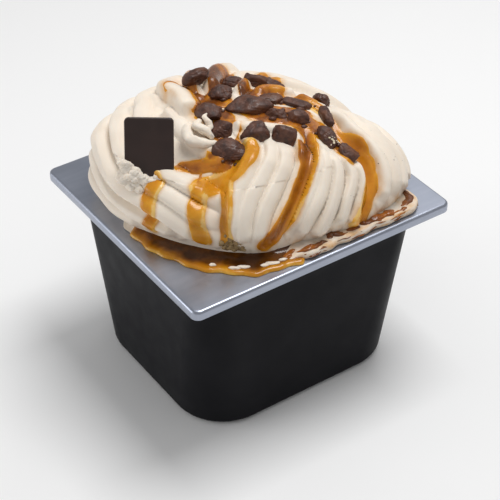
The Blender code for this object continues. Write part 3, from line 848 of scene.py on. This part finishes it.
def lumps(name, specs, mat, level=3):
    """Several uneven lumps in one mesh: centre, size, 3x3 turn, seed, kind."""
    V, F, base = [], [], 0
    bm = bmesh.new()
    bmesh.ops.create_icosphere(bm, subdivisions=level, radius=1.0)
    bm.verts.ensure_lookup_table()
    n = np.array([v.co.normalized() for v in bm.verts])
    tri = [tuple(v.index for v in f.verts) for f in bm.faces]
    bm.free()
    for c, size, turn, seed, kind in specs:
        half = np.array(size) / 2
        if kind == "broken":
            P = n * half * broken(n, seed)[:, None]
            P -= n * (0.12 * size[0] * fbm(P + seed * 3, size[0] * 0.5, 2, seed % 50))[:, None]
        else:
            k = 1 + 0.24 * vnoise(n + seed, 0.8, 5) + 0.14 * vnoise(n + seed * 2, 0.35, 6)
            P = n * half * k[:, None]
        P = P @ np.array(turn).T + np.array(c)
        V.append(P)
        F += [tuple(a + base for a in f) for f in tri]
        base += len(P)
    ob = obj_from(name, np.vstack(V), F, [mat], {"stain": np.zeros(base), "thick_and_side_shade": np.full(base, 0.5)})
    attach(ob, "root")
    return ob


def on_mound(bearing, rise, lift=0.0, spin=0.0):
    i = np.argmin(np.abs((np.degrees(TH) - bearing + 180) % 360 - 180))
    k = np.argmin(np.abs(np.degrees(RISE) - rise))
    n = NORM[i, k]
    across = np.array([math.cos(math.radians(-35)), math.sin(math.radians(-35)), 0])
    x = across - n * (across @ n)
    x /= np.linalg.norm(x)
    y = np.cross(n, x)
    c, s = math.cos(math.radians(spin)), math.sin(math.radians(spin))
    return SURF[i, k] + n * lift, np.stack([x * c + y * s, y * c - x * s, n], 1)


def make_crumbs():
    rng = np.random.RandomState(11)
    specs = []
    # crumbs gather round the larger pieces
    for k, (b0, a0, l, w, t, spin, lift) in enumerate(CHUNKS):
        c0, m0 = on_mound(b0, a0, 0.0, spin)
        for j in range(7 if k > 3 else 4):
            ang = rng.uniform(0, 2 * math.pi)
            size = 1.2 + 3.4 * rng.uniform() ** 1.8
            q = c0 + m0 @ np.array([math.cos(ang) * (l / 2 + size * 0.4), math.sin(ang) * (w / 2 + size * 0.4), 0])
            d = ((SURF[..., :] - q) ** 2).sum(-1)
            i, e = np.unravel_index(d.argmin(), d.shape)
            if SF[i, e] < 0.0:
                continue
            n = NORM[i, e]
            x = np.cross(n, [0.2, 0.9, 0.3]); x /= np.linalg.norm(x)
            specs.append((SURF[i, e] + n * size * 0.22, (size * rng.uniform(1, 1.5), size, size * 0.8),
                          np.stack([x, np.cross(n, x), n], 1), 10 * k + j, "broken"))
    lumps("biscuit_crumbs", specs, M_CHUNK, 2)
    # stray specks on the right lobe
    specks = []
    for k in range(16):
        b, a = rng.uniform(276, 332), rng.uniform(12, 40)
        c, m = on_mound(b, a, 0.0)
        z = rng.uniform(0.35, 0.75)
        specks.append((c, (z * 1.5, z, z * 0.6), m, 300 + k, "broken"))
    lumps("biscuit_specks", specks, M_CHUNK, 1)


def tube(points, radii, seg=20, n=40, squash=1.0):
    """Tapered tube with round ends along a smooth run of points."""
    q = np.array(points, float)
    r = np.array(radii, float)
    q = np.vstack([2 * q[0] - q[1], q, 2 * q[-1] - q[-2]])
    r = np.concatenate([[r[0]], r, [r[-1]]])
    m = len(q) - 3
    u = np.linspace(0, m, n)
    i = np.minimum(u.astype(int), m - 1)
    f = u - i

    def cr(k):
        g = f[:, None] if k.ndim == 2 else f
        a, b, c, d = k[i], k[i + 1], k[i + 2], k[i + 3]
        return 0.5 * (2 * b + (c - a) * g + (2 * a - 5 * b + 4 * c - d) * g * g
                      + (3 * b - a - 3 * c + d) * g ** 3)
    P, R = cr(q), np.maximum(cr(r), 0.05)
    T = np.gradient(P, axis=0)
    T /= np.linalg.norm(T, axis=1, keepdims=True)
    N = np.cross(T, [0.3, 0.2, 0.93])
    N /= np.linalg.norm(N, axis=1, keepdims=True)
    B = np.cross(T, N)
    V, F = [], []
    for p, t, nn, b, rad in zip(P, T, N, B, R):
        for k in range(seg):
            a = 2 * math.pi * k / seg
            V.append(p + (nn * math.cos(a) + b * math.sin(a) * squash) * rad)
    for j in range(n - 1):
        for k in range(seg):
            l = (k + 1) % seg
            F.append((j * seg + k, j * seg + l, (j + 1) * seg + l, (j + 1) * seg + k))
    V.append(P[0] - T[0] * R[0] * 0.6); V.append(P[-1] + T[-1] * R[-1] * 0.6)
    for k in range(seg):
        l = (k + 1) % seg
        F.append((l, k, n * seg))
        F.append(((n - 1) * seg + k, (n - 1) * seg + l, n * seg + 1))
    return np.array(V), F


def tubes(name, runs, mat, attrs=("stain", 0.0), grain=0.0):
    V, F, base = [], [], 0
    for pts, rad, sq in runs:
        v, f = tube(pts, rad, squash=sq)
        if grain:
            v = v + grain * np.stack([vnoise(v, 2.4, k) for k in range(3)], 1)
        V.append(v)
        F += [tuple(a + base for a in g) for g in f]
        base += len(v)
    ob = obj_from(name, np.vstack(V), F, [mat], {attrs[0]: np.full(base, attrs[1])})
    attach(ob, "root")
    return ob


def make_cream_bits():
    # rough cream pushed up round the tile's lower corner
    fb, fr = math.radians(TILE_FACE[0]), math.radians(TILE_FACE[1])
    n = np.array([math.cos(fb) * math.cos(fr), math.sin(fb) * math.cos(fr), math.sin(fr)])
    x = np.cross([0, 0, 1], n); x /= np.linalg.norm(x)
    y = np.cross(n, x)
    turn = np.stack([x, y, n], 1)
    c0 = np.array(TILE_AT) + [0, 0, PAN_H]
    specs = []
    for k, (u, v, w, d, e) in enumerate([(-11.5, -12.5, 1.5, 7.5, 7.0), (-8.0, -15.5, 2.2, 8.0, 7.0),
                                         (-13.0, -17.5, 1.0, 8.5, 8.0), (-4.5, -18.5, 1.8, 8.0, 5.5),
                                         (1.0, -18.8, 0.5, 9.0, 4.0), (8.0, -17.8, 0.2, 9.0, 3.6),
                                         (-9.5, -20.5, 1.0, 9.0, 7.0), (-12.5, -10.0, 0.6, 4.0, 3.6)]):
        specs.append((c0 + x * u + y * v + n * w, (d * 1.2, e * 1.15, 6.4), turn, 60 + k, "soft"))
        for j in range(2):
            o = np.array([math.sin(k * 3.1 + j * 1.7) * d * 0.45, math.cos(k * 2.3 + j * 2.1) * e * 0.45, 1.6 + 0.8 * math.sin(k + j)])
            specs.append((c0 + x * (u + o[0]) + y * (v + o[1]) + n * (w + o[2]), (4.2 + (j + k) % 3, 4.0, 3.2), turn, 90 + 5 * k + j, "soft"))
    # little blobs lying in the pool
    for k, (b, r, l, w) in enumerate([(222, 80.5, 4.0, 2.2), (231, 81.5, 7.0, 2.6), (234.5, 80.3, 7.0, 3.2),
                                      (243, 79.5, 5.0, 2.8), (246, 78.4, 9.0, 3.0), (251, 76.5, 5.0, 2.0)]):
        t = math.radians(b)
        z = math.radians(b + 90)
        m = np.array([[math.cos(z), -math.sin(z), 0], [math.sin(z), math.cos(z), 0], [0, 0, 1]])
        specs.append(((r * math.cos(t), r * math.sin(t), PAN_H + 2.1), (l, w, 1.8), m, 80 + k, "soft"))
    lumps("gelato_bits", specs, M_CREAM, 4)
    # the small curl with its peak
    def P(b, a, lift):
        return on_mound(b, a, lift)[0]
    runs = [([P(226, 66, 0.5), P(214, 64, 2.0), P(202, 65, 2.6), P(193, 70, 2.0), P(190, 75, 1.0)], [1.8, 3.4, 3.6, 3.0, 1.6], 0.9),
            ([P(222, 70, 1.5), P(212, 69, 4.0), P(202, 70, 5.0), P(196, 73, 5.2)], [1.5, 2.8, 2.9, 1.6], 0.85),
            ([P(214, 72, 3.5), P(206, 72, 6.5), P(199, 73, 8.6), P(194, 74, 10.6)], [1.2, 2.2, 1.7, 0.3], 0.9)]
    tubes("gelato_curl", runs, M_CREAM, grain=0.5)


def make_debris():
    rng = np.random.RandomState(5)
    specs = []
    for k in range(84):
        b = 231 + np.clip(rng.normal(), -2, 2) * 2.4
        a = 6 + abs(rng.normal()) * 3.4
        z = 0.9 + 2.2 * rng.uniform() ** 1.8
        c, m = on_mound(b, min(a, 16), z * 0.2, rng.uniform(0, 360))
        specs.append((c, (z * 1.3, z, z * 0.8), m, 400 + k, "broken"))
    lumps("nut_crumbs", specs, M_NUT, 2)
    # pale crumbs by the chunk on the right
    specs = []
    for k in range(14):
        c, m = on_mound(308 + rng.normal() * 1.3, 49 + rng.normal() * 2.2, 3.4 + rng.uniform() * 1.5, rng.uniform(0, 360))
        z = rng.uniform(0.6, 1.5)
        specs.append((c, (z * 1.3, z, z * 0.8), m, 500 + k, "broken"))
    lumps("sugar_crumbs", specs, M_PALE, 1)


def make_seam():
    """Sauce squeezed out along the foot of the right lobes."""
    def Q(b, dr, z):
        t = math.radians(b)
        r, h = slab(np.array([t]))
        return (float(r[0]) - dr) * np.array([math.cos(t), math.sin(t), 0]) + [0, 0, PAN_H + z + float(h[0])]
    rng = np.random.RandomState(3)
    runs = []
    for dr, z, lo, hi, size in ((5.4, -0.4, 250, 324, 2.7), (3.4, -0.3, 250, 318, 1.6), (0.9, -1.3, 252, 318, 1.1), (0.5, -3.2, 258, 314, 0.8)):
        b = lo
        while b < hi:
            n = rng.randint(3, 7)
            step = rng.uniform(2.0, 3.6)
            run = [Q(b + step * j, dr + rng.uniform(-0.8, 0.8), z + rng.uniform(-0.35, 0.35)) for j in range(n)]
            rad = [size * rng.uniform(0.45, 1.35) for j in range(n)]
            rad[0] = rad[-1] = 0.3
            runs.append((run, rad, rng.uniform(0.35, 0.7)))
            b += step * (n - 1) + rng.uniform(-2.0, 4.5)
    tubes("sauce_seam", runs, M_SAUCE, ("thick_and_side_shade", 0.92), 0.5)


# =====================================================================
# the pan
# =====================================================================
def wall(z, off=0.0):
    depth = PAN_H - z
    inset = WALL_INSET + depth * math.tan(DRAFT) - off
    r = CORNER_TOP + (CORNER_BOT - CORNER_TOP) * depth / PAN_H + off
    return FLANGE_X / 2 - inset, FLANGE_Y / 2 - inset, r


def make_pan():
    fx, fy, top, seg = FLANGE_X / 2, FLANGE_Y / 2, PAN_H, 14
    rings, mats = [], []

    def add(hx, hy, r, z, mat):
        rings.append(ring_pts(hx, hy, max(r, 0.4), z, seg))
        mats.append(mat)

    for a in range(90, -1, -10):                       # heel
        s, c = math.sin(math.radians(a)), math.cos(math.radians(a))
        z = HEEL_R * (1 - s)
        add(*wall(z, -HEEL_R * (1 - c)), z, 1)
    zs = top - SHEET - SHOULDER_H
    for z in np.linspace(HEEL_R, zs, 8)[1:]:
        add(*wall(z), z, 1)
    for a in range(15, 91, 15):                        # shoulder, an S bend
        k = 0.5 - 0.5 * math.cos(math.radians(2 * a))
        z = zs + 2.5 * a / 90
        add(*wall(z, SHOULDER_OUT * k), z, 1)
    add(*wall(top - SHEET, SHOULDER_OUT), top - SHEET, 0)
    add(fx - SHEET, fy - SHEET, FLANGE_R - SHEET, top - SHEET, 0)
    add(fx - SHEET, fy - SHEET, FLANGE_R - SHEET, top - SKIRT + 0.3, 0)
    add(fx - 0.5 * SHEET, fy - 0.5 * SHEET, FLANGE_R - 0.5 * SHEET, top - SKIRT, 0)
    add(fx - 0.1, fy - 0.1, FLANGE_R - 0.1, top - SKIRT + 0.15, 0)
    add(fx, fy, FLANGE_R, top - SKIRT + 0.5, 0)
    for a in range(0, 91, 10):                         # rolled edge
        s, c = math.sin(math.radians(a)), math.cos(math.radians(a))
        e = EDGE_R * (1 - c)
        add(fx - e, fy - e, FLANGE_R - e, top - EDGE_R * (1 - s), 0)
    add(MOUTH_X, MOUTH_Y, MOUTH_R, top, 0)
    add(MOUTH_X, MOUTH_Y, MOUTH_R, top - SHEET, 0)
    add(*wall(top - SHEET - 0.4, SHOULDER_OUT - SHEET), top - SHEET - 0.4, 0)
    add(*wall(zs + 2.5, SHOULDER_OUT - SHEET), zs + 2.5, 0)
    add(*wall(zs, -SHEET), zs, 0)
    add(*wall(6.0, -SHEET), 6.0, 0)
    hx, hy, r = wall(SHEET, -SHEET - 4.0)
    add(hx, hy, r, SHEET, 0)
    V, F, M = rings_mesh(rings, (1, 0), mats)
    ob = obj_from("pan_drawn", V, F, [M_STEEL, M_BLACK], sharp=38)
    ob.data.polygons.foreach_set("material_index", M)
    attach(ob, "root"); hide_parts("pan")
    return ob


make_pan()
make_gelato()
make_sauce()
make_pool()
for i, spec in enumerate(CHUNKS, 1):
    make_chunk(i, spec)
make_tile()
make_crumbs()
make_cream_bits()
make_debris()
make_seam()


# =====================================================================
# floor, light, camera
# =====================================================================
def plane(name, size, z, mat):
    me = bpy.data.meshes.new(name)
    s = size / 2
    me.from_pydata([(-s, -s, z), (s, -s, z), (s, s, z), (-s, s, z)], [], [(0, 1, 2, 3)])
    me.materials.append(mat)
    ob = bpy.data.objects.new(name, me)
    scene.collection.objects.link(ob)
    return ob


fm = Mat("floor_white")
fm.set(Base_Color=lin(246, 246, 246), Roughness=0.9)
fm.b.inputs["Specular IOR Level"].default_value = 0.1
plane("floor", 6.0, -0.0002, fm.m)

world = bpy.data.worlds.new("world")
scene.world = world
world.use_nodes = True
world.node_tree.nodes["Background"].inputs[0].default_value = (1, 1, 1, 1)
world.node_tree.nodes["Background"].inputs[1].default_value = 0.42


def area(name, loc, target, size, power):
    d = bpy.data.lights.new(name, "AREA")
    d.shape = "RECTANGLE"
    d.size, d.size_y = size
    d.energy = power
    d.color = (1, 1, 1)
    ob = bpy.data.objects.new(name, d)
    ob.location = loc
    ob.rotation_euler = (Vector(target) - Vector(loc)).to_track_quat("-Z", "Y").to_euler()
    scene.collection.objects.link(ob)
    return ob


area("key", (0.24, -0.02, 1.12), (0, 0, 0.14), (0.5, 0.5), 7.5)
area("fill_left", (-0.9, 0.45, 0.25), (-0.1, 0.1, -0.05), (0.6, 0.5), 2.5)
area("back_right", (0.62, 0.36, 0.62), (0.05, -0.05, 0.118), (0.4, 0.4), 0.42)

az, el = math.radians(-34.63), math.radians(38.16)
back = Vector((math.sin(az) * math.cos(el), -math.cos(az) * math.cos(el), math.sin(el)))
right = Vector((math.cos(az), math.sin(az), 0))
up = back.cross(right)
eye = right * 2.25 + up * -38.52 + back * 945.0 + Vector((0, 0, PAN_H))
cd = bpy.data.cameras.new("camera")
cd.sensor_width = 36.0
cd.lens = 113.91
cd.clip_start, cd.clip_end = 0.05, 20
cam = bpy.data.objects.new("camera", cd)
cam.location = eye * MM
cam.rotation_euler = (-back).to_track_quat("-Z", "Y").to_euler()
scene.collection.objects.link(cam)
scene.camera = cam
